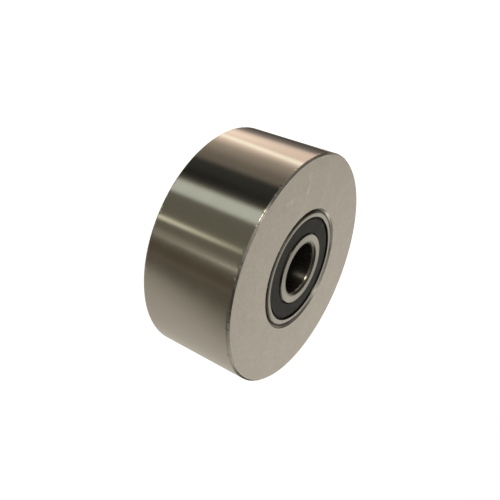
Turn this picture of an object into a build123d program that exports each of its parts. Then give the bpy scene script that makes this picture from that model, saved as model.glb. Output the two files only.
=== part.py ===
from build123d import *
from math import acos, cos, degrees, pi, radians, sin
import os

# Guide roller for wire rope: a plain steel roller that turns on two sealed ball bearings, one
# pressed into each end. Millimetres, +Z along the roller's axis, origin at the middle of the bore.

# Roller body, turned from bar and ground on the face that the rope runs on
roller_diameter = 93.0
roller_width = 38.8
rim_chamfer = 0.7
seat_mouth_chamfer = 1.2
seat_root_radius = 0.5
seat_shoulder = 3.0
land_chamfer = 0.5
bearing_recess = 0.1

# Bearing rings, of the common 20 x 47 x 14 size
bearing_bore = 20.0
bearing_diameter = 47.0
outer_corner_radius = 1.0
bore_corner_radius = 1.3
inner_ring_edge_chamfer = 0.4
outer_ring_edge_chamfer = 0.15
outer_ring_rim = 2.3
outer_race_depth = 1.35
inner_race_depth = 1.65
race_openness = 1.05
race_play = 0.03

# Balls and the pressed cage that keeps them apart
ball_diameter = 7.94
ball_count = 8
pocket_play = 0.08
cage_sheet = 0.7
cage_width = 3.0
cage_seal_gap = 0.45
rivet_head_share = 0.6
rivet_shank_share = 0.36
rivet_head_height = 0.5
rivet_hole_play = 0.02

# Rubber seals: a bead snapped into an undercut of the outer ring, and a lip that runs in a groove
# of the inner ring
seal_thickness = 1.3
seal_recess = 0.5
trench_width = 0.9
trench_depth = 0.55
trench_slope = 0.15
undercut_depth = 0.45
bead_play = 0.1
bead_chamfer = 0.25
seal_bore_gap = 0.3
lip_thickness = 0.4
lip_taper = 0.1
lip_play = 0.15
lip_side_gap = 0.2
lip_groove_depth = 0.6
lip_groove_slope = 0.3

# Spacer sleeve between the two inner rings
spacer_bore_play = 0.25
spacer_wall = 2.75
spacer_chamfer = 0.5

# Radii that follow from the sizes above
roller_radius = roller_diameter / 2
seat_radius = bearing_diameter / 2
bore_radius = bearing_bore / 2
ball_radius = ball_diameter / 2
pitch_radius = (seat_radius + bore_radius) / 2
race_radius = race_openness * ball_radius
outer_race_bottom = pitch_radius + ball_radius + race_play
inner_race_bottom = pitch_radius - ball_radius - race_play
outer_shoulder = outer_race_bottom - outer_race_depth
inner_shoulder = inner_race_bottom + inner_race_depth
ring_mouth = seat_radius - outer_ring_rim
undercut_radius = ring_mouth + undercut_depth
lip_groove_radius = inner_shoulder - lip_groove_depth

# Heights in a bearing, counted from its own middle plane. They add up to half its width.
pocket_inside = ball_radius + pocket_play
pocket_outside = pocket_inside + cage_sheet
seal_bottom = pocket_outside + cage_seal_gap
seal_top = seal_bottom + seal_thickness
half_width = seal_top + seal_recess
bead_top = seal_top - trench_depth
lip_groove_bottom = seal_bottom - lip_side_gap
lip_groove_top = seal_bottom + lip_thickness + lip_side_gap

# Places of the two bearings, and of the land between them
bearing_centre = roller_width / 2 - bearing_recess - half_width
land_half_length = bearing_centre - half_width

os.makedirs("parts", exist_ok=True)


def section_plane(height=0.0, side=1):
    """The plane of a turned section: local X is the radius, local Y runs along the axis."""
    return Plane(origin=(0, 0, height), x_dir=(1, 0, 0), z_dir=(0, -side, 0))


def write(piece, name):
    """Labels a finished piece and writes it to its own file."""
    piece.label = name
    export_step(piece, f"parts/{name}.step")


# Roller body: one turned piece with a stepped bore. Each end has a seat for a bearing, with a
# chamfered mouth, and the land left in the middle stops both bearings.
with BuildPart() as roller_body:
    with BuildSketch(section_plane()):
        with BuildLine():
            Polyline(
                (roller_radius, 0),
                (roller_radius, roller_width / 2 - rim_chamfer),
                (roller_radius - rim_chamfer, roller_width / 2),
                (seat_radius + seat_mouth_chamfer, roller_width / 2),
                (seat_radius, roller_width / 2 - seat_mouth_chamfer),
                (seat_radius, land_half_length + seat_root_radius),
            )
            TangentArc(
                (seat_radius, land_half_length + seat_root_radius),
                (seat_radius - seat_root_radius, land_half_length),
                tangent=(0, -1),
            )
            Polyline(
                (seat_radius - seat_root_radius, land_half_length),
                (seat_radius - seat_shoulder + land_chamfer, land_half_length),
                (seat_radius - seat_shoulder, land_half_length - land_chamfer),
                (seat_radius - seat_shoulder, 0),
            )
            mirror(about=Plane.XZ)
        make_face()
    revolve(axis=Axis.Z)
write(roller_body.part, "roller_body")

# Spacer sleeve: holds the inner rings as far apart as the land holds the outer rings.
with BuildPart() as spacer_sleeve:
    with BuildSketch(Plane.XY.offset(-land_half_length)):
        Circle(bore_radius + spacer_bore_play + spacer_wall)
        Circle(bore_radius + spacer_bore_play, mode=Mode.SUBTRACT)
    extrude(amount=2 * land_half_length)
    chamfer(spacer_sleeve.edges().filter_by(GeomType.CIRCLE), spacer_chamfer)
write(spacer_sleeve.part, "spacer_sleeve")

# Half the angle that each race wraps round the ball's section
outer_race_angle = degrees(acos(1 - outer_race_depth / race_radius))
inner_race_angle = degrees(acos(1 - inner_race_depth / race_radius))


def build_outer_ring(centre):
    """Outer ring: a race in the middle, and on each side a shoulder, an undercut and a mouth."""
    with BuildPart() as ring:
        with BuildSketch(section_plane(centre)):
            with BuildLine():
                Line((seat_radius, 0), (seat_radius, half_width - outer_corner_radius))
                TangentArc(
                    (seat_radius, half_width - outer_corner_radius),
                    (seat_radius - outer_corner_radius, half_width),
                    tangent=(0, 1),
                )
                race = CenterArc(
                    (outer_race_bottom - race_radius, 0), race_radius, 0, outer_race_angle
                )
                Polyline(
                    (seat_radius - outer_corner_radius, half_width),
                    (ring_mouth + outer_ring_edge_chamfer, half_width),
                    (ring_mouth, half_width - outer_ring_edge_chamfer),
                    (ring_mouth, bead_top + undercut_depth),
                    (undercut_radius, bead_top),
                    (undercut_radius, seal_bottom),
                    (outer_shoulder, seal_bottom),
                    race @ 1,
                )
                mirror(about=Plane.XZ)
            make_face()
        revolve(axis=Axis.Z)
    return ring.part


def build_inner_ring(centre):
    """Inner ring: a race in the middle, and on each side a groove for the seal's lip."""
    with BuildPart() as ring:
        with BuildSketch(section_plane(centre)):
            with BuildLine():
                Line((bore_radius, 0), (bore_radius, half_width - bore_corner_radius))
                TangentArc(
                    (bore_radius, half_width - bore_corner_radius),
                    (bore_radius + bore_corner_radius, half_width),
                    tangent=(0, 1),
                )
                race = CenterArc(
                    (inner_race_bottom + race_radius, 0), race_radius, 180, -inner_race_angle
                )
                Polyline(
                    (bore_radius + bore_corner_radius, half_width),
                    (inner_shoulder - inner_ring_edge_chamfer, half_width),
                    (inner_shoulder, half_width - inner_ring_edge_chamfer),
                    (inner_shoulder, lip_groove_top + lip_groove_slope),
                    (lip_groove_radius, lip_groove_top),
                    (lip_groove_radius, lip_groove_bottom),
                    (inner_shoulder, lip_groove_bottom - lip_groove_slope),
                    race @ 1,
                )
                mirror(about=Plane.XZ)
            make_face()
        revolve(axis=Axis.Z)
    return ring.part


def build_seal(centre, side):
    """Seal: a flat rubber disc with a bead at its rim and a lip at its bore."""
    with BuildPart() as seal:
        with BuildSketch(section_plane(centre, side)):
            with BuildLine():
                Polyline(
                    (inner_shoulder + seal_bore_gap, seal_top),
                    (ring_mouth - trench_width, seal_top),
                    (ring_mouth - trench_width + trench_slope, bead_top),
                    (undercut_radius - bead_play - bead_chamfer, bead_top),
                    (undercut_radius - bead_play, bead_top - bead_chamfer),
                    (undercut_radius - bead_play, seal_bottom),
                    (inner_shoulder + seal_bore_gap, seal_bottom),
                    (lip_groove_radius + lip_play, seal_bottom + lip_taper),
                    (lip_groove_radius + lip_play, seal_bottom + lip_thickness - lip_taper),
                    (inner_shoulder + seal_bore_gap, seal_bottom + lip_thickness),
                    close=True,
                )
            make_face()
        revolve(axis=Axis.Z)
    return seal.part


# The webs between two pockets carry the rivets, so a rivet's size follows from the web's length.
half_step = 180 / ball_count
web_length = 2 * (pitch_radius * sin(radians(half_step)) - pocket_outside)
rivet_head_radius = rivet_head_share * web_length / 2
rivet_shank_radius = rivet_shank_share * web_length / 2


def build_cage_half(centre, side):
    """Half of a cage: a flat ring pressed into a round pocket over each ball, with rivet holes."""
    cage_plane = Plane(origin=(0, 0, centre), x_dir=(1, 0, 0), z_dir=(0, 0, side))
    with BuildPart(cage_plane) as half:
        with BuildSketch(cage_plane):
            Circle(pitch_radius + cage_width / 2)
            Circle(pitch_radius - cage_width / 2, mode=Mode.SUBTRACT)
        extrude(amount=cage_sheet)
        with PolarLocations(pitch_radius, ball_count):
            Sphere(pocket_outside)
        with BuildSketch(cage_plane):
            Circle(pitch_radius + cage_width / 2)
            Circle(pitch_radius - cage_width / 2, mode=Mode.SUBTRACT)
        extrude(amount=pocket_outside + cage_seal_gap, mode=Mode.INTERSECT)
        with PolarLocations(pitch_radius, ball_count):
            Sphere(pocket_inside, mode=Mode.SUBTRACT)
        with PolarLocations(pitch_radius, ball_count, start_angle=half_step):
            Hole(rivet_shank_radius + rivet_hole_play)
    return half.part


def build_rivets(centre):
    """The rivets of one cage: a plain shank with a round head on each side of the two webs."""
    with BuildPart() as rivet:
        with BuildSketch(section_plane()):
            with BuildLine():
                Polyline(
                    (0, cage_sheet + rivet_head_height),
                    (0, 0),
                    (rivet_shank_radius, 0),
                    (rivet_shank_radius, cage_sheet),
                    (rivet_head_radius, cage_sheet),
                )
                TangentArc(
                    (0, cage_sheet + rivet_head_height),
                    (rivet_head_radius, cage_sheet),
                    tangent=(1, 0),
                )
            make_face()
        revolve(axis=Axis.Z)
        mirror(about=Plane.XY)
    with BuildPart(Plane.XY.offset(centre)) as rivets:
        with PolarLocations(pitch_radius, ball_count, start_angle=half_step):
            add(rivet.part)
    return rivets.part


def build_ball(centre, number):
    """One ball of a bearing, numbered round the pitch circle from the +X side."""
    angle = 2 * pi * number / ball_count
    with BuildPart(Plane.XY.offset(centre)) as ball:
        with Locations((pitch_radius * cos(angle), pitch_radius * sin(angle))):
            Sphere(ball_radius)
    return ball.part


# Two equal bearings. Side 1 of each faces its own end of the roller, and side -1 faces the land.
for place, end in {"upper": 1, "lower": -1}.items():
    centre = end * bearing_centre
    write(build_outer_ring(centre), f"{place}_outer_ring")
    write(build_inner_ring(centre), f"{place}_inner_ring")
    write(build_seal(centre, end), f"{place}_outer_seal")
    write(build_seal(centre, -end), f"{place}_inner_seal")
    write(build_cage_half(centre, end), f"{place}_cage_outer_half")
    write(build_cage_half(centre, -end), f"{place}_cage_inner_half")
    write(build_rivets(centre), f"{place}_cage_rivets")
    for number in range(ball_count):
        write(build_ball(centre, number), f"{place}_ball_{number + 1}")
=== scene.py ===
"""Looks of the wire rope guide roller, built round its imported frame. All lengths are in metres.

The roller stands on one flat end, its axle bore along Z, with the end that the photograph shows on
top. It is dressed in the order in which it goes together: the fixed parts on the axle side, the
balls and their cages, the seals, the outer rings, the roller itself, and then the studio round it.
"""

import bmesh
import bpy
from math import cos, hypot, pi, radians, sin
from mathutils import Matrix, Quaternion, Vector


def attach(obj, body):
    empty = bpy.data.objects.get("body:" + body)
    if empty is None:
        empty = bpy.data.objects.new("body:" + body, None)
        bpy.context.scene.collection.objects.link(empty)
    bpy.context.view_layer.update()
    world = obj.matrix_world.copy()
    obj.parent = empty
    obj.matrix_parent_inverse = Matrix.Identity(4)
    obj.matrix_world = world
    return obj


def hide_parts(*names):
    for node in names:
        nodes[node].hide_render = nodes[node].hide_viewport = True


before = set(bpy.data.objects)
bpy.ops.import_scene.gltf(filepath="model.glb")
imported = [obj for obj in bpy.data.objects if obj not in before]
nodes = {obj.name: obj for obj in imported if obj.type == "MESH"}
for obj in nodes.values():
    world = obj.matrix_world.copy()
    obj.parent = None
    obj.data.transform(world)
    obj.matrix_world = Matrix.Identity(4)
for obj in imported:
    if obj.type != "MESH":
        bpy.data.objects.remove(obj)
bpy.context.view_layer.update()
bpy.ops.object.select_all(action="DESELECT")

# Inner rings, upper and lower
# The ring of each ball bearing that stands still on the axle, of through-hardened bearing steel.
# Faces, bore and race are ground round the axis, which leaves fine rings in a warm grey surface.


def put(tree, kind, spot, **fill):
    """Adds a node at a spot of the tree, and fills in its settings and its inputs by name."""
    new = tree.nodes.new(kind)
    new.location = (spot[0] * 200, spot[1] * 180)
    for name, value in fill.items():
        if hasattr(new, name):
            setattr(new, name, value)
        else:
            new.inputs[name.replace("_", " ")].default_value = value
    return new


def wire(tree, *runs):
    """Joins sockets in pairs: a node and its output, then a node and its input."""
    for (giver, out), (taker, into) in runs:
        tree.links.new(giver.outputs[out], taker.inputs[into])


def ramp(tree, spot, taken, given, kind="LINEAR"):
    """A node that turns one range of a value into another: each pair is a low and a high end."""
    new = put(tree, "ShaderNodeMapRange", spot, interpolation_type=kind)
    for name, value in zip(("From Min", "From Max", "To Min", "To Max"), (*taken, *given)):
        new.inputs[name].default_value = value
    return new


def colour_mix(tree, spot, one=(0.5, 0.5, 0.5), other=(0.5, 0.5, 0.5)):
    """A colour that goes from one tone to the other as its factor goes from 0 to 1."""
    mix = put(tree, "ShaderNodeMix", spot, data_type="RGBA")
    mix.inputs[6].default_value = (*one, 1)
    mix.inputs[7].default_value = (*other, 1)
    return mix


def new_group(name, takes, gives):
    """Starts a shader node group with named inputs, each with its usual value, and outputs."""
    tree = bpy.data.node_groups.new(name, "ShaderNodeTree")
    for socket, value in takes.items():
        kind = "NodeSocketColor" if isinstance(value, tuple) else "NodeSocketFloat"
        made = tree.interface.new_socket(socket, in_out="INPUT", socket_type=kind)
        made.default_value = value
    for socket, kind in gives.items():
        tree.interface.new_socket(socket, in_out="OUTPUT", socket_type=kind)
    return tree, put(tree, "NodeGroupInput", (-6, 0)), put(tree, "NodeGroupOutput", (6, 0))


def use_group(tree, group, spot, **fill):
    """Places a node group in a material and gives its inputs this material's own values."""
    placed = put(tree, "ShaderNodeGroup", spot, node_tree=group)
    for name, value in fill.items():
        placed.inputs[name.replace("_", " ")].default_value = value
    return placed


def new_material(name, **fill):
    """A material with one Principled BSDF, whose plain values sit on its own sockets."""
    made = bpy.data.materials.new(name)
    made.use_nodes = True
    shader = made.node_tree.nodes["Principled BSDF"]
    for socket, value in fill.items():
        shader.inputs[socket.replace("_", " ")].default_value = value
    return made, made.node_tree, shader


# Marks that a grinding wheel or a lathe tool leaves: long thin streaks that run round the axis.
# Across a flat face they follow the radius, and along a cylinder the height, so both are added.
marks_group, takes, gives = new_group(
    "marks_round_the_axis",
    {"Marks per metre": 4000.0, "Turns per streak": 1.5, "Seed": 0.0},
    {"Mark": "NodeSocketFloat"},
)
place = put(marks_group, "ShaderNodeTexCoord", (-6, 3))
apart = put(marks_group, "ShaderNodeSeparateXYZ", (-5, 3))
flat = put(marks_group, "ShaderNodeCombineXYZ", (-4, 4))
radius = put(marks_group, "ShaderNodeVectorMath", (-3, 4), operation="LENGTH")
outward = put(marks_group, "ShaderNodeVectorMath", (-3, 3), operation="NORMALIZE")
around = put(marks_group, "ShaderNodeVectorMath", (-2, 3), operation="SCALE")
across = put(marks_group, "ShaderNodeMath", (-2, 2), operation="ADD")
fine = put(marks_group, "ShaderNodeMath", (-1, 1), operation="MULTIPLY_ADD")
lift = put(marks_group, "ShaderNodeCombineXYZ", (0, 1))
spread = put(marks_group, "ShaderNodeVectorMath", (1, 2), operation="ADD")
streaks = put(marks_group, "ShaderNodeTexNoise", (2, 2), Scale=1.0, Detail=3.0, Roughness=0.65)
wire(
    marks_group,
    ((place, "Object"), (apart, 0)),
    ((apart, "X"), (flat, "X")),
    ((apart, "Y"), (flat, "Y")),
    ((flat, 0), (radius, 0)),
    ((flat, 0), (outward, 0)),
    ((outward, 0), (around, 0)),
    ((takes, "Turns per streak"), (around, "Scale")),
    ((radius, "Value"), (across, 0)),
    ((apart, "Z"), (across, 1)),
    ((across, 0), (fine, 0)),
    ((takes, "Marks per metre"), (fine, 1)),
    ((takes, "Seed"), (fine, 2)),
    ((fine, 0), (lift, "Z")),
    ((around, 0), (spread, 0)),
    ((lift, 0), (spread, 1)),
    ((spread, 0), (streaks, "Vector")),
    ((streaks, "Fac"), (gives, "Mark")),
)

# Cloudy patches of handling and oil film, with a finer speckle in them, from 0 to 1.
patina_group, takes, gives = new_group(
    "cloudy_patina",
    {"Clouds per metre": 120.0, "Speckles per metre": 2500.0, "Speckle share": 0.3},
    {"Cloud": "NodeSocketFloat"},
)
place = put(patina_group, "ShaderNodeTexCoord", (-5, 2))
clouds = put(patina_group, "ShaderNodeTexNoise", (-3, 2), Detail=4.0, Roughness=0.6, Distortion=0.6)
speckle = put(patina_group, "ShaderNodeTexNoise", (-3, 0), Detail=2.0, Roughness=0.7)
both = put(patina_group, "ShaderNodeMix", (0, 1))
wire(
    patina_group,
    ((place, "Object"), (clouds, "Vector")),
    ((place, "Object"), (speckle, "Vector")),
    ((takes, "Clouds per metre"), (clouds, "Scale")),
    ((takes, "Speckles per metre"), (speckle, "Scale")),
    ((takes, "Speckle share"), (both, 0)),
    ((clouds, "Fac"), (both, 2)),
    ((speckle, "Fac"), (both, 3)),
    ((both, 0), (gives, "Cloud")),
)

# Oil and dust that collect in a groove round the axis, together with painted shade in grooves, gaps
# and corners: a ring-shaped mask with an uneven edge.
oil_and_shade_group, takes, gives = new_group(
    "oil_and_painted_shade_in_a_groove",
    {"Ring radius": 0.02, "Half width": 0.001, "Soft edge": 0.0002, "Strength": 1.0},
    {"Ring mask": "NodeSocketFloat"},
)
place = put(oil_and_shade_group, "ShaderNodeTexCoord", (-6, 2))
flat = put(oil_and_shade_group, "ShaderNodeVectorMath", (-5, 2), operation="MULTIPLY")
flat.inputs[1].default_value = (1, 1, 0)
radius = put(oil_and_shade_group, "ShaderNodeVectorMath", (-4, 2), operation="LENGTH")
away = put(oil_and_shade_group, "ShaderNodeMath", (-3, 2), operation="SUBTRACT")
off = put(oil_and_shade_group, "ShaderNodeMath", (-2, 2), operation="ABSOLUTE")
outer = put(oil_and_shade_group, "ShaderNodeMath", (-3, -1), operation="ADD")
edge = ramp(oil_and_shade_group, (0, 1), (0, 1), (1, 0), "SMOOTHSTEP")
patchy = put(oil_and_shade_group, "ShaderNodeTexNoise", (-3, 4), Scale=380.0, Detail=3.0)
uneven = ramp(oil_and_shade_group, (-1, 4), (0.25, 0.6), (0.75, 1))
both = put(oil_and_shade_group, "ShaderNodeMath", (2, 2), operation="MULTIPLY")
all_three = put(oil_and_shade_group, "ShaderNodeMath", (3, 2), operation="MULTIPLY")
wire(
    oil_and_shade_group,
    ((place, "Object"), (flat, 0)),
    ((flat, 0), (radius, 0)),
    ((radius, "Value"), (away, 0)),
    ((takes, "Ring radius"), (away, 1)),
    ((away, 0), (off, 0)),
    ((takes, "Half width"), (outer, 0)),
    ((takes, "Soft edge"), (outer, 1)),
    ((off, 0), (edge, "Value")),
    ((takes, "Half width"), (edge, "From Min")),
    ((outer, 0), (edge, "From Max")),
    ((place, "Object"), (patchy, "Vector")),
    ((patchy, "Fac"), (uneven, "Value")),
    ((edge, 0), (both, 0)),
    ((uneven, 0), (both, 1)),
    ((both, 0), (all_three, 0)),
    ((takes, "Strength"), (all_three, 1)),
    ((all_three, 0), (gives, "Ring mask")),
)
# The dark colour of oil and of painted shade in grooves, gaps and corners, and the gloss of the
# oil.
oil_and_shade_colour, oil_roughness = (0.05, 0.042, 0.032), 0.17


def machined_steel(name, dark, light, rough, marks, cloud, film_share, bump, oil_and_shade_rings=(), **fill):
    """Bare steel cut or ground round the axis: its tone, gloss and surface follow the marks.

    dark and light are the ends of its colour, rough the ends of its roughness, marks the values of
    the marks group, cloud those of the patina group, film_share the patina's part in the tone, bump
    the depth of the marks in metres, and the last argument the values of each groove, gap or corner
    whose colour oil and painted shade darken. The grain runs round the axis, so that an anisotropic
    gloss spreads across the marks.
    """
    made, tree, shader = new_material(name, Metallic=1.0, Anisotropic_Rotation=0.25, **fill)
    grain = put(tree, "ShaderNodeTangent", (-2, -5), direction_type="RADIAL", axis="Z")
    streak = use_group(tree, marks_group, (-7, 1), **marks)
    film = use_group(tree, patina_group, (-7, -1), **cloud)
    blend = put(tree, "ShaderNodeMix", (-5, 0), Factor=film_share)
    tone = ramp(tree, (-4, 1), (0.32, 0.68), (0, 1))
    colour = colour_mix(tree, (-3, 1), dark, light)
    gloss = ramp(tree, (-3, -1), (0.3, 0.7), rough)
    relief = put(tree, "ShaderNodeBump", (-2, -3), Distance=bump)
    wire(
        tree,
        ((streak, "Mark"), (blend, 2)),
        ((film, "Cloud"), (blend, 3)),
        ((blend, 0), (tone, "Value")),
        ((tone, 0), (colour, 0)),
        ((blend, 0), (gloss, "Value")),
        ((streak, "Mark"), (relief, "Height")),
        ((relief, 0), (shader, "Normal")),
        ((grain, 0), (shader, "Tangent")),
    )
    colour_so_far, dry = (colour, 2), (gloss, 0)
    # Each ring darkens the colour with oil and painted shade, and gives the gloss of oil.
    for row, groove in enumerate(oil_and_shade_rings):
        shade_and_oil_mask = use_group(tree, oil_and_shade_group, (-5, 3 + row), **groove)
        stain_and_shade = colour_mix(tree, (-2 + row, 3), other=oil_and_shade_colour)
        wet = put(tree, "ShaderNodeMix", (-2 + row, -1))
        wet.inputs[3].default_value = oil_roughness
        wire(
            tree,
            ((shade_and_oil_mask, "Ring mask"), (stain_and_shade, 0)),
            ((shade_and_oil_mask, "Ring mask"), (wet, 0)),
            (colour_so_far, (stain_and_shade, 6)),
            (dry, (wet, 2)),
        )
        colour_so_far, dry = (stain_and_shade, 2), (wet, 0)
    wire(tree, (colour_so_far, (shader, "Base Color")), (dry, (shader, "Roughness")))
    return made, tree, shader


def dress(node, material):
    """Gives a CAD node its finish."""
    nodes[node].data.materials.clear()
    nodes[node].data.materials.append(material)


ring_steel, tree, shader = machined_steel(
    "ground_bearing_steel",
    dark=(0.205, 0.199, 0.179),
    light=(0.265, 0.256, 0.231),
    rough=(0.18, 0.24),
    marks={"Marks per metre": 9000.0, "Turns per streak": 1.0},
    cloud={"Clouds per metre": 220.0},
    film_share=0.6,
    bump=0.000001,
    # Painted shade with oil: darker rings at the outer ring's corner in the seat, at the inner
    # ring's edge by the seal, and at the mouth of the bore.
    oil_and_shade_rings=(
        {"Ring radius": 0.0235, "Half width": 0.00025, "Soft edge": 0.0003, "Strength": 0.9},
        {"Ring radius": 0.01432, "Half width": 0.00028, "Soft edge": 0.00012, "Strength": 0.8},
        {"Ring radius": 0.0109, "Half width": 0.00035, "Soft edge": 0.0005, "Strength": 0.85},
    ),
    Anisotropic=0.78,
)
# The bore is only ground, not polished as the races are, and scatters light along its length.
bore_roughness = 0.28
ground_bore = use_group(
    tree,
    oil_and_shade_group,
    (-2, -7),
    **{"Ring radius": 0.0096, "Half width": 0.0005, "Soft edge": 0.0004},
)
finish = put(tree, "ShaderNodeMix", (-1, -6))
finish.inputs[3].default_value = bore_roughness
polished = shader.inputs["Roughness"].links[0].from_socket
tree.links.new(polished, finish.inputs[2])
wire(tree, ((ground_bore, "Ring mask"), (finish, 0)), ((finish, 0), (shader, "Roughness")))
ends = ("upper", "lower")
for end in ends:
    dress(f"{end}_inner_ring", ring_steel)

# Spacer sleeve
# A turned steel tube between the two inner rings, so that they can be clamped on the axle. It lies
# unseen in the roller, but for its bore, and has the coarser rings of a lathe tool.
spacer_steel, _, _ = machined_steel(
    "turned_tube_steel",
    dark=(0.12, 0.11, 0.095),
    light=(0.20, 0.185, 0.16),
    rough=(0.36, 0.5),
    marks={"Marks per metre": 5000.0, "Turns per streak": 0.5},
    cloud={"Clouds per metre": 160.0},
    film_share=0.5,
    bump=0.000004,
)
dress("spacer_sleeve", spacer_steel)

# Balls, eight in each bearing
# Lapped chrome steel, almost mirror bright, with a thin film of grease that breaks up the gloss.
# They run in the races of the two rings, and their cage keeps them evenly apart.
balls_in_a_bearing = 8


def filmed(name, dark, light, rough, cloud, taken=(0.3, 0.7), bump=0.0, **fill):
    """A material without marks round the axis: its tone and gloss follow a cloudy film alone.

    dark and light are the ends of its colour, rough the ends of its roughness, cloud the values of
    the patina group, taken the range of the film that counts, and bump its depth in metres.
    """
    made, tree, shader = new_material(name, **fill)
    film = use_group(tree, patina_group, (-6, 0), **cloud)
    gloss = ramp(tree, (-3, 0), taken, rough)
    colour = colour_mix(tree, (-3, 2), dark, light)
    wire(
        tree,
        ((film, "Cloud"), (gloss, "Value")),
        ((film, "Cloud"), (colour, 0)),
        ((gloss, 0), (shader, "Roughness")),
        ((colour, 2), (shader, "Base Color")),
    )
    if bump:
        relief = put(tree, "ShaderNodeBump", (-2, -2), Distance=bump)
        wire(tree, ((film, "Cloud"), (relief, "Height")), ((relief, 0), (shader, "Normal")))
    return made, tree, shader


ball_steel, _, _ = filmed(
    "lapped_ball_steel",
    dark=(0.62, 0.62, 0.62),
    light=(0.72, 0.71, 0.69),
    rough=(0.05, 0.16),
    cloud={"Clouds per metre": 700.0},
    taken=(0.35, 0.7),
    Metallic=1.0,
)
for end in ends:
    for ball in range(1, balls_in_a_bearing + 1):
        dress(f"{end}_ball_{ball}", ball_steel)

# Ball cages and their rivets
# Two halves pressed from bright steel sheet and riveted together between the balls. Pressing and
# tumbling leave a soft sheen with fine scuffs, and no marks round the axis.
cage_steel, _, _ = filmed(
    "pressed_sheet_steel",
    dark=(0.42, 0.41, 0.39),
    light=(0.55, 0.54, 0.51),
    rough=(0.28, 0.45),
    cloud={"Clouds per metre": 500.0, "Speckles per metre": 6000.0, "Speckle share": 0.45},
    bump=0.000004,
    Metallic=1.0,
)
for end in ends:
    for piece in ("cage_outer_half", "cage_inner_half", "cage_rivets"):
        dress(f"{end}_{piece}", cage_steel)

# Seals, two in each bearing
# Nitrile rubber moulded on a steel washer and snapped into the outer ring. The face is matt and
# nearly black, a little paler where dust and handling have dulled it.
seal_rubber, tree, shader = filmed(
    "moulded_seal_rubber",
    dark=(0.0185, 0.0197, 0.0202),
    light=(0.0315, 0.0327, 0.0327),
    rough=(0.52, 0.7),
    cloud={"Clouds per metre": 260.0, "Speckles per metre": 5000.0, "Speckle share": 0.35},
    bump=0.00001,
    Metallic=0.0,
    Specular_IOR_Level=0.35,
)

# A light scuff or nick at one place: its middle and its half sizes in metres, its turn round Z in
# degrees, and how plain it is, from 0 to 1.
scuff_group, takes, gives = new_group(
    "light_scuff",
    {
        "East": 0.0,
        "North": 0.0,
        "Up": 0.0194,
        "Turn": 0.0,
        "Half length": 0.002,
        "Half width": 0.001,
        "Strength": 1.0,
    },
    {"Scuff": "NodeSocketFloat"},
)
place = put(scuff_group, "ShaderNodeTexCoord", (-6, 2))
middle = put(scuff_group, "ShaderNodeCombineXYZ", (-5, 0))
away = put(scuff_group, "ShaderNodeVectorMath", (-4, 2), operation="SUBTRACT")
back = put(scuff_group, "ShaderNodeMath", (-4, 0), operation="MULTIPLY")
back.inputs[1].default_value = -pi / 180
aligned = put(scuff_group, "ShaderNodeVectorRotate", (-3, 1), rotation_type="Z_AXIS")
sizes = put(scuff_group, "ShaderNodeCombineXYZ", (-3, -1))
share = put(scuff_group, "ShaderNodeVectorMath", (-2, 1), operation="DIVIDE")
reach = put(scuff_group, "ShaderNodeVectorMath", (-1, 1), operation="LENGTH")
edge = ramp(scuff_group, (0, 1), (0.1, 1.1), (1, 0), "SMOOTHSTEP")
patchy = put(scuff_group, "ShaderNodeTexNoise", (-3, 4), Scale=900.0, Detail=3.0)
uneven = ramp(scuff_group, (-1, 4), (0.35, 0.6), (0.3, 1))
both = put(scuff_group, "ShaderNodeMath", (2, 2), operation="MULTIPLY")
all_three = put(scuff_group, "ShaderNodeMath", (3, 2), operation="MULTIPLY")
wire(
    scuff_group,
    ((takes, "East"), (middle, 0)),
    ((takes, "North"), (middle, 1)),
    ((takes, "Up"), (middle, 2)),
    ((place, "Object"), (away, 0)),
    ((middle, 0), (away, 1)),
    ((takes, "Turn"), (back, 0)),
    ((away, 0), (aligned, "Vector")),
    ((back, 0), (aligned, "Angle")),
    ((takes, "Half length"), (sizes, 0)),
    ((takes, "Half width"), (sizes, 1)),
    ((takes, "Half width"), (sizes, 2)),
    ((aligned, 0), (share, 0)),
    ((sizes, 0), (share, 1)),
    ((share, 0), (reach, 0)),
    ((reach, "Value"), (edge, "Value")),
    ((place, "Object"), (patchy, "Vector")),
    ((patchy, "Fac"), (uneven, "Value")),
    ((edge, 0), (both, 0)),
    ((uneven, 0), (both, 1)),
    ((both, 0), (all_three, 0)),
    ((takes, "Strength"), (all_three, 1)),
    ((all_three, 0), (gives, "Scuff")),
)


def scuff(tree, shader, colour, places):
    """Lays light scuffs over a material's colour, one for each set of the scuff group's values."""
    for row, values in enumerate(places):
        mark = use_group(tree, scuff_group, (-5, 7 + row), **values)
        shown = colour_mix(tree, (-1, 7 + row), other=colour)
        under = shader.inputs["Base Color"].links[0].from_socket
        tree.links.new(under, shown.inputs[6])
        wire(tree, ((mark, "Scuff"), (shown, 0)), ((shown, 2), (shader, "Base Color")))


# A small light patch laid on the seal's colour at one place, beside the outer ring.
light_mark_on_seal = {
    "East": -0.0189,
    "North": 0.0065,
    "Up": 0.0188,
    "Turn": 150.0,
    "Half length": 0.0014,
    "Half width": 0.0007,
}
scuff(tree, shader, (0.2, 0.2, 0.18), (light_mark_on_seal,))
for end in ends:
    for side in ("outer", "inner"):
        dress(f"{end}_{side}_seal", seal_rubber)

# Outer rings
# The ring of each bearing that is pressed into the roller and turns with it, of the same ground
# bearing steel as the inner ring.
for end in ends:
    dress(f"{end}_outer_ring", ring_steel)

# Roller
# One piece of steel bar, turned, bored for a bearing in each end, and ground on the rolling face.
# The blank is a cylinder, and both ends are cut alike, from the rim inwards to the land.
roller_radius, roller_width = 0.0465, 0.0388
half_width = roller_width / 2
sides_round = 768
rim_chamfer, stone_round = 0.0007, 0.00006
seat_radius, mouth_chamfer, root_radius = 0.0235, 0.0012, 0.0005
mouth_radius = seat_radius + mouth_chamfer
land_face, land_radius, land_chamfer = 0.0053, 0.0205, 0.0005
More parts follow.
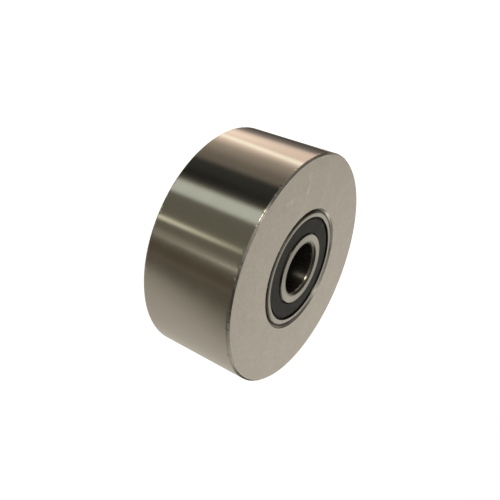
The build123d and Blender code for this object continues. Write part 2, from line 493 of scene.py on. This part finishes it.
# How close counts as on the roller's outside, and as the same place. A face lies flush to a
# direction from this share of its normal on, and slopes to it from the smaller share on.
near, touching = 0.0001, 0.00001
flush, sloping = 0.99, 0.1


def choose(kind, test):
    """Selects the faces or the edges of the roller that pass a test, and nothing else."""
    bpy.ops.mesh.select_all(action="DESELECT")
    bpy.ops.mesh.select_mode(type=kind)
    shape = bmesh.from_edit_mesh(roller.data)
    for element in shape.faces if kind == "FACE" else shape.edges:
        element.select_set(test(element))
    bmesh.update_edit_mesh(roller.data)


def on_rim(edge):
    """True for an edge that runs round a rim of the blank, by its middle."""
    middle = (edge.verts[0].co + edge.verts[1].co) / 2
    return hypot(*middle.xy) > roller_radius - near and abs(middle.z) > half_width - near


def on_corner(edge):
    """True for an edge that runs round the axis, on a corner between the seat and the rim."""
    one, other = (Vector((hypot(*vertex.co.xy), vertex.co.z)) for vertex in edge.verts)
    return (
        (one - other).length < touching
        and one.x > seat_radius + mouth_chamfer / 2
        and abs(one.y) > half_width - rim_chamfer - touching
    )


def on_ground_face(face):
    """True for a face of the ground cylinder, which the rope runs on."""
    return (
        hypot(*face.normal.xy) > flush
        and hypot(*face.calc_center_median().xy) > roller_radius - near
    )


bpy.ops.mesh.primitive_cylinder_add(
    vertices=sides_round, radius=roller_radius, depth=roller_width, end_fill_type="NGON"
)
roller = bpy.context.active_object
roller.name = roller.data.name = "roller_turning"
bpy.ops.object.mode_set(mode="EDIT")
choose("FACE", lambda face: abs(face.normal.z) > flush)
# Each cut goes so far inwards and so far down: the flat end, the chamfered mouth of the seat, its
# wall, its root, the face of the land and the land's chamfer. The land's bore then joins both ends.
cuts = (
    (roller_radius - mouth_radius, 0.0),
    (mouth_chamfer, -mouth_chamfer),
    (0.0, -(half_width - mouth_chamfer - land_face - root_radius)),
    (root_radius, -root_radius),
    (seat_radius - root_radius - land_radius - land_chamfer, 0.0),
    (land_chamfer, -land_chamfer),
)
for inward, down in cuts:
    bpy.ops.mesh.inset(thickness=inward, depth=down, use_individual=True)
bpy.ops.mesh.bridge_edge_loops()
choose("EDGE", on_rim)
bpy.ops.mesh.bevel(offset=rim_chamfer, segments=1)
# The edges that show are broken by hand with a stone, to a fine round.
choose("EDGE", on_corner)
bpy.ops.mesh.bevel(offset=stone_round, segments=3)
# Loops close to each rim keep the dents below from reaching across the ground face.
guard_heights = (0.0178, 0.0183, -0.0178, -0.0183)
for height in guard_heights:
    choose("FACE", on_ground_face)
    bpy.ops.mesh.bisect(plane_co=(0, 0, height), plane_no=(0, 0, 1))
bpy.ops.object.mode_set(mode="OBJECT")

# Handling has knocked the sharp outer rims: small dents, under 0.1 mm deep, at uneven places.
dent_size, dent_depth, dent_reach = 0.0015, 0.00008, 0.00015
rims = roller.vertex_groups.new(name="outer_rims")
knocked = [
    vertex.index
    for vertex in roller.data.vertices
    if hypot(*vertex.co.xy) > roller_radius - dent_reach
    and abs(vertex.co.z) > half_width - rim_chamfer - dent_reach
]
rims.add(knocked, 1.0, "REPLACE")
knocks = bpy.data.textures.new("knocks", "CLOUDS")
knocks.noise_scale, knocks.noise_depth = dent_size, 1
knocks.contrast, knocks.intensity, knocks.use_clamp = 5, 0.3, True
dents = roller.modifiers.new("dents", "DISPLACE")
dents.texture, dents.texture_coords, dents.vertex_group = knocks, "LOCAL", "outer_rims"
dents.direction, dents.strength, dents.mid_level = "NORMAL", -dent_depth, 0
bpy.ops.object.modifier_apply(modifier="dents")
bpy.ops.object.shade_smooth_by_angle(angle=radians(30))
flat_faces = roller.modifiers.new("flat_faces_stay_flat", "WEIGHTED_NORMAL")
flat_faces.keep_sharp = True
bpy.ops.object.modifier_apply(modifier="flat_faces_stay_flat")

rolling_steel, _, _ = machined_steel(
    "ground_rolling_face",
    dark=(0.445, 0.425, 0.39),
    light=(0.485, 0.465, 0.425),
    rough=(0.15, 0.175),
    marks={"Marks per metre": 2500.0, "Turns per streak": 0.8},
    cloud={"Clouds per metre": 70.0, "Speckles per metre": 1800.0},
    film_share=0.85,
    bump=0.00000005,
    Anisotropic=0.9,
)
turned_steel, tree, shader = machined_steel(
    "turned_end_face",
    dark=(0.494, 0.465, 0.422),
    light=(0.68, 0.643, 0.587),
    rough=(0.39, 0.47),
    marks={"Marks per metre": 3000.0, "Turns per streak": 0.6},
    cloud={"Clouds per metre": 90.0, "Speckles per metre": 1000.0, "Speckle share": 0.5},
    film_share=0.9,
    bump=0.0000005,
)
scuff_names = ("East", "North", "Turn", "Half length", "Half width", "Strength")
scuffs_on_end_face = [
    dict(zip(scuff_names, values))
    for values in (
        (-0.0285, -0.0192, 15.0, 0.0042, 0.0009, 1.0),
        (-0.0333, -0.0216, 60.0, 0.0026, 0.0018, 0.8),
        (-0.0222, -0.0284, 0.0, 0.0016, 0.0013, 1.0),
        (-0.0211, -0.0307, 0.0, 0.0016, 0.0012, 0.6),
    )
]
scuff(tree, shader, (0.75, 0.73, 0.625), scuffs_on_end_face)
chamfer_steel, _, _ = machined_steel(
    "turned_chamfer",
    dark=(0.42, 0.4, 0.36),
    light=(0.52, 0.495, 0.45),
    rough=(0.2, 0.28),
    marks={"Marks per metre": 6000.0, "Turns per streak": 0.6},
    cloud={"Clouds per metre": 160.0},
    film_share=0.7,
    bump=0.000001,
    # Painted shade with oil: darker rings at the outer edge and at the foot of the seat's chamfered
    # mouth, beside the outer ring.
    oil_and_shade_rings=(
        {"Ring radius": 0.0247, "Half width": 0.00005, "Soft edge": 0.0001, "Strength": 0.5},
        {"Ring radius": 0.0236, "Half width": 0.0002, "Soft edge": 0.0003, "Strength": 0.9},
    ),
    Anisotropic=0.8,
)
for steel in (rolling_steel, turned_steel, chamfer_steel):
    roller.data.materials.append(steel)
# The flat ends and the land are turned, the chamfers are turned finer, and the rest is ground.
for face in roller.data.polygons:
    if abs(face.normal.z) > flush or hypot(*face.center.xy) < seat_radius - near:
        face.material_index = 1
    elif abs(face.normal.z) > sloping:
        face.material_index = 2
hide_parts("roller_body")
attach(roller, "roller")

# Studio
# A white paper floor with a small black disc under the bore, which paints shade into the bore, and
# a room of cards and one lamp.
# Only the bright steel shows the cards: they hang upright round the roller, and are its bands.
floor_radius, floor_sides, floor_gap = 3.0, 96, 0.0001
pad_radius, pad_sides = 0.03, 64
paper_glow = 0.85


def lay_disc(name, sides, radius, height, material):
    """A flat disc under the roller, in one material."""
    bpy.ops.object.select_all(action="DESELECT")
    bpy.ops.mesh.primitive_circle_add(
        vertices=sides, radius=radius, fill_type="NGON", location=(0, 0, height)
    )
    disc = bpy.context.active_object
    disc.name = disc.data.name = name
    bpy.ops.object.transform_apply(location=True)
    disc.data.materials.append(material)
    return disc


paper, tree, shader = new_material(
    "white_paper",
    Base_Color=(0.8, 0.8, 0.8, 1),
    Emission_Color=(1, 1, 1, 1),
    Roughness=0.9,
    Specular_IOR_Level=0.0,
)
# Only the camera sees the paper's glow, which makes it as white as the photograph's ground.
ray = put(tree, "ShaderNodeLightPath", (-4, 3))
seen = put(tree, "ShaderNodeMath", (-2, 3), operation="MULTIPLY")
seen.inputs[1].default_value = paper_glow
wire(
    tree,
    ((ray, "Is Camera Ray"), (seen, 0)),
    ((seen, 0), (shader, "Emission Strength")),
)
floor = lay_disc("studio_floor", floor_sides, floor_radius, -half_width - floor_gap, paper)
floor.visible_glossy = False

# Painted shade: a black disc on the floor under the bore, which keeps the bore dark through its far
# end.
black_shade_material, _, _ = new_material(
    "black_shade_disc", Base_Color=(0.012, 0.011, 0.01, 1), Roughness=1.0, Specular_IOR_Level=0.0
)
pad_height = -half_width - floor_gap / 2
pad = lay_disc("black_shade_disc_under_the_bore", pad_sides, pad_radius, pad_height, black_shade_material)

# A card of the room hides what hangs behind it. A leaning card's middle moves with height, and a
# fading card grows thinner with it, both counted from the low end of what the roller shows.
low_end = 0.58
card_group, takes, gives = new_group(
    "studio_card",
    {
        "Turn": 0.0,
        "Height": 0.0,
        "Middle": 0.0,
        "Half width": 10.0,
        "Soft edge": 4.0,
        "Lean": 0.0,
        "Fade": 0.0,
        "Card": (1.0, 1.0, 1.0, 1.0),
        "Room": (0.2, 0.2, 0.2, 1.0),
    },
    {"Room": "NodeSocketColor"},
)
drop = put(card_group, "ShaderNodeMath", (-6, 2), operation="ADD")
drop.inputs[1].default_value = low_end
shift = put(card_group, "ShaderNodeMath", (-5, 2), operation="MULTIPLY_ADD")
away = put(card_group, "ShaderNodeMath", (-4, 1), operation="SUBTRACT")
half_turn = put(card_group, "ShaderNodeMath", (-3, 1), operation="WRAP")
half_turn.inputs[1].default_value, half_turn.inputs[2].default_value = 180, -180
off = put(card_group, "ShaderNodeMath", (-2, 1), operation="ABSOLUTE")
inner = put(card_group, "ShaderNodeMath", (-2, -1), operation="SUBTRACT")
outer = put(card_group, "ShaderNodeMath", (-2, -2), operation="ADD")
edge = ramp(card_group, (0, 1), (0, 1), (1, 0), "SMOOTHSTEP")
loss = put(card_group, "ShaderNodeMath", (-3, 4), operation="MULTIPLY")
full = put(card_group, "ShaderNodeMath", (-2, 4), operation="SUBTRACT", use_clamp=True)
full.inputs[0].default_value = 1
shown = put(card_group, "ShaderNodeMath", (1, 2), operation="MULTIPLY")
over = colour_mix(card_group, (2, 0))
wire(
    card_group,
    ((takes, "Height"), (drop, 0)),
    ((drop, 0), (shift, 0)),
    ((takes, "Lean"), (shift, 1)),
    ((takes, "Middle"), (shift, 2)),
    ((takes, "Turn"), (away, 0)),
    ((shift, 0), (away, 1)),
    ((away, 0), (half_turn, 0)),
    ((half_turn, 0), (off, 0)),
    ((takes, "Half width"), (inner, 0)),
    ((takes, "Soft edge"), (inner, 1)),
    ((takes, "Half width"), (outer, 0)),
    ((takes, "Soft edge"), (outer, 1)),
    ((off, 0), (edge, "Value")),
    ((inner, 0), (edge, "From Min")),
    ((outer, 0), (edge, "From Max")),
    ((drop, 0), (loss, 0)),
    ((takes, "Fade"), (loss, 1)),
    ((loss, 0), (full, 1)),
    ((edge, 0), (shown, 0)),
    ((full, 0), (shown, 1)),
    ((shown, 0), (over, 0)),
    ((takes, "Room"), (over, 6)),
    ((takes, "Card"), (over, 7)),
    ((over, 2), (gives, "Room")),
)

room = bpy.data.worlds.new("studio_room")
bpy.context.scene.world = room
room.use_nodes = True
tree = room.node_tree
tree.nodes.clear()
look = put(tree, "ShaderNodeTexCoord", (-16, 0))
parts = put(tree, "ShaderNodeSeparateXYZ", (-15, 0))
turn = put(tree, "ShaderNodeMath", (-14, 0), operation="ARCTAN2")
degrees = put(tree, "ShaderNodeMath", (-13, 0), operation="DEGREES")
wire(
    tree,
    ((look, "Generated"), (parts, 0)),
    ((parts, "Y"), (turn, 0)),
    ((parts, "X"), (turn, 1)),
    ((turn, 0), (degrees, 0)),
)


def bare_wall(colour, row):
    """A part of the room in one colour, before any card hangs in it."""
    plain = put(tree, "ShaderNodeRGB", (-13, row))
    plain.outputs[0].default_value = (*colour, 1)
    return plain, 0


def hang_cards(room_so_far, cards, row):
    """Lays one card after the other over the room, each by its values, and returns the last."""
    for step, (name, (middle, half, soft, lean, fade, colour)) in enumerate(cards.items()):
        card = use_group(
            tree,
            card_group,
            (-12 + step, row),
            **{
                "Middle": middle,
                "Half width": half,
                "Soft edge": soft,
                "Lean": lean,
                "Fade": fade,
                "Card": (*colour, 1),
            },
        )
        card.label = name
        wire(
            tree,
            ((degrees, 0), (card, "Turn")),
            ((parts, "Z"), (card, "Height")),
            (room_so_far, (card, "Room")),
        )
        room_so_far = (card, "Room")
    return room_so_far


def stack(below, over, low, high):
    """Joins two parts of the room, one over the other, with a soft step between two heights."""
    step = ramp(tree, (8, 4), (low, high), (0, 1), "SMOOTHSTEP")
    joined = colour_mix(tree, (9, 3))
    wire(
        tree,
        ((parts, "Z"), (step, "Value")),
        ((step, 0), (joined, 0)),
        (below, (joined, 6)),
        (over, (joined, 7)),
    )
    return joined, 2


# Each card's middle, half width and soft edge in degrees round the roller, how far it leans in
# degrees a unit of height, how fast it fades with height, and its colour. A height is the upward
# part of a look from the roller: 0 at its own level, and 1 straight up.
walls = hang_cards(
    bare_wall((0.2, 0.19, 0.145), 2),
    {
        "warm_wall": (26.3, 60, 21, 190, 0, (0.64, 0.59, 0.51)),
        "dark_doorway": (306, 12, 5, 15, 0, (0.125, 0.103, 0.07)),
        "deep_end_of_doorway": (316, 8.7, 7, 63, 0, (0.125, 0.105, 0.075)),
        "faint_strip": (308.5, 2.2, 2, 15, 0, (0.2, 0.168, 0.122)),
        "fainter_strip": (316, 0.8, 1.2, 15, 0, (0.155, 0.13, 0.095)),
        "grey_sill": (71, 10, 8, 0, 0, (0.47, 0.46, 0.41)),
        "dusky_wall": (121.5, 15, 4, 40, 0, (0.25, 0.215, 0.19)),
        "dark_corner": (110.8, 6.5, 10, 35, 0, (0.06, 0.051, 0.043)),
        "brown_wall": (188, 15, 3, 18, 0, (0.26, 0.22, 0.18)),
        "lit_brown_wall": (173.5, 9, 9, 18, 0, (0.52, 0.44, 0.355)),
        "cream_softbox": (151, 17, 6.5, 22, 0, (1.31, 1.04, 0.86)),
        "hot_corner_of_softbox": (144.5, 5.5, 6, 25, 7.5, (1.95, 1.58, 1.3)),
        "lit_edge_of_softbox": (156.3, 3.1, 3.4, 54, 0, (2.0, 1.82, 1.52)),
        "black_flag": (212.8, 13.6, 3.6, 15, 0, (0.045, 0.047, 0.042)),
        "depth_of_the_flag": (219, 5, 5, 18, 4, (0.012, 0.013, 0.011)),
        "daylight_card": (236.5, 6.8, 2.7, 8, 0, (0.82, 0.87, 0.77)),
        "strip_lamp": (272, 1.55, 1.3, 15, 9, (1.95, 1.9, 1.47)),
        "dim_strip": (286.3, 3, 2, 15, 0, (0.41, 0.385, 0.31)),
        "thin_lamp": (287.3, 0.6, 0.6, 15, 0, (1.55, 1.45, 1.22)),
        "veil_on_thin_lamp": (287.3, 1.2, 0.6, 15, 9.5, (0.41, 0.385, 0.31)),
    },
    2,
)
walls_and_rail = hang_cards(walls, {"dark_rail": (68, 42, 12, 0, 0, (0.04, 0.036, 0.031))}, 5)
backdrop = hang_cards(
    bare_wall((0.42, 0.4, 0.36), -1),
    {
        "dark_side": (135, 28, 8, 0, 0, (0.14, 0.135, 0.12)),
        "pale_side": (29, 20, 9, 0, 0, (0.8, 0.76, 0.69)),
        "white_backdrop": (74, 30, 9, 0, 0, (1.5, 1.42, 1.275)),
    },
    -1,
)
ceiling = hang_cards(
    bare_wall((0.19, 0.18, 0.162), -3),
    {
        "ceiling_softbox": (252, 30, 6, 0, 0, (0.38, 0.365, 0.325)),
        "ceiling_strip": (223, 7, 4, 0, 0, (0.6, 0.575, 0.52)),
        "pale_ceiling": (5, 22, 8, 0, 0, (0.46, 0.44, 0.395)),
        "behind_the_camera": (320, 36, 10, 0, 0, (0.02, 0.018, 0.015)),
    },
    -3,
)
crown = hang_cards(
    bare_wall((0.42, 0.4, 0.36), -5), {"skylight": (212, 10, 5, 0, 0, (1.9, 1.83, 1.65))}, -5
)
whole = walls
for part_of_room, low, high in (
    (walls_and_rail, -0.22, -0.1),
    (backdrop, 0.15, 0.3),
    (ceiling, 0.28, 0.68),
    (crown, 0.853, 0.885),
):
    whole = stack(whole, part_of_room, low, high)

# The camera itself sees plain white behind the roller.
ray = put(tree, "ShaderNodeLightPath", (8, 1))
plain = put(tree, "ShaderNodeMath", (9, 1), operation="MAXIMUM")
white = colour_mix(tree, (10, 1), other=(1, 1, 1))
sky = put(tree, "ShaderNodeBackground", (11, 1))
out = put(tree, "ShaderNodeOutputWorld", (12, 1))
wire(
    tree,
    ((ray, "Is Camera Ray"), (plain, 0)),
    ((ray, "Is Transmission Ray"), (plain, 1)),
    ((plain, 0), (white, 0)),
    (whole, (white, 6)),
    ((white, 2), (sky, "Color")),
    ((sky, 0), (out, "Surface")),
)

# The lamp's place is a turn and a height in degrees, seen from the roller, at a distance.
lamp_turn, lamp_height, lamp_distance = 236, 16, 0.9
lamp_size, lamp_power, lamp_colour = 0.18, 2.8, (1, 0.92, 0.74)
level = lamp_distance * cos(radians(lamp_height))
bpy.ops.object.light_add(
    type="AREA",
    location=(
        level * cos(radians(lamp_turn)),
        level * sin(radians(lamp_turn)),
        lamp_distance * sin(radians(lamp_height)),
    ),
)
lamp = bpy.context.active_object
lamp.name = "low_lamp"
lamp.data.shape, lamp.data.size = "DISK", lamp_size
lamp.data.energy, lamp.data.color = lamp_power, lamp_colour
lamp.rotation_euler = (-lamp.location).to_track_quat("-Z", "Y").to_euler()

# The camera stands on the roller's -Y side and above it. Its roll, in degrees, lays the axle bore
# across the picture, as in the photograph.
camera_place, camera_aim, camera_roll = (-0.0173, -0.2172, 0.1112), (-0.0173, -0.0071, 0.0), 110.6
camera_lens, shift_across, shift_up = 43.67, -0.035, -0.083
bpy.ops.object.camera_add(location=camera_place)
camera = bpy.context.active_object
camera.data.lens = camera_lens
camera.data.shift_x, camera.data.shift_y = shift_across, shift_up
toward = (Vector(camera_aim) - camera.location).to_track_quat("-Z", "Y")
camera.rotation_euler = (toward @ Quaternion((0, 0, 1), radians(camera_roll))).to_euler()
bpy.context.scene.camera = camera
bpy.context.scene.view_settings.view_transform = "Standard"
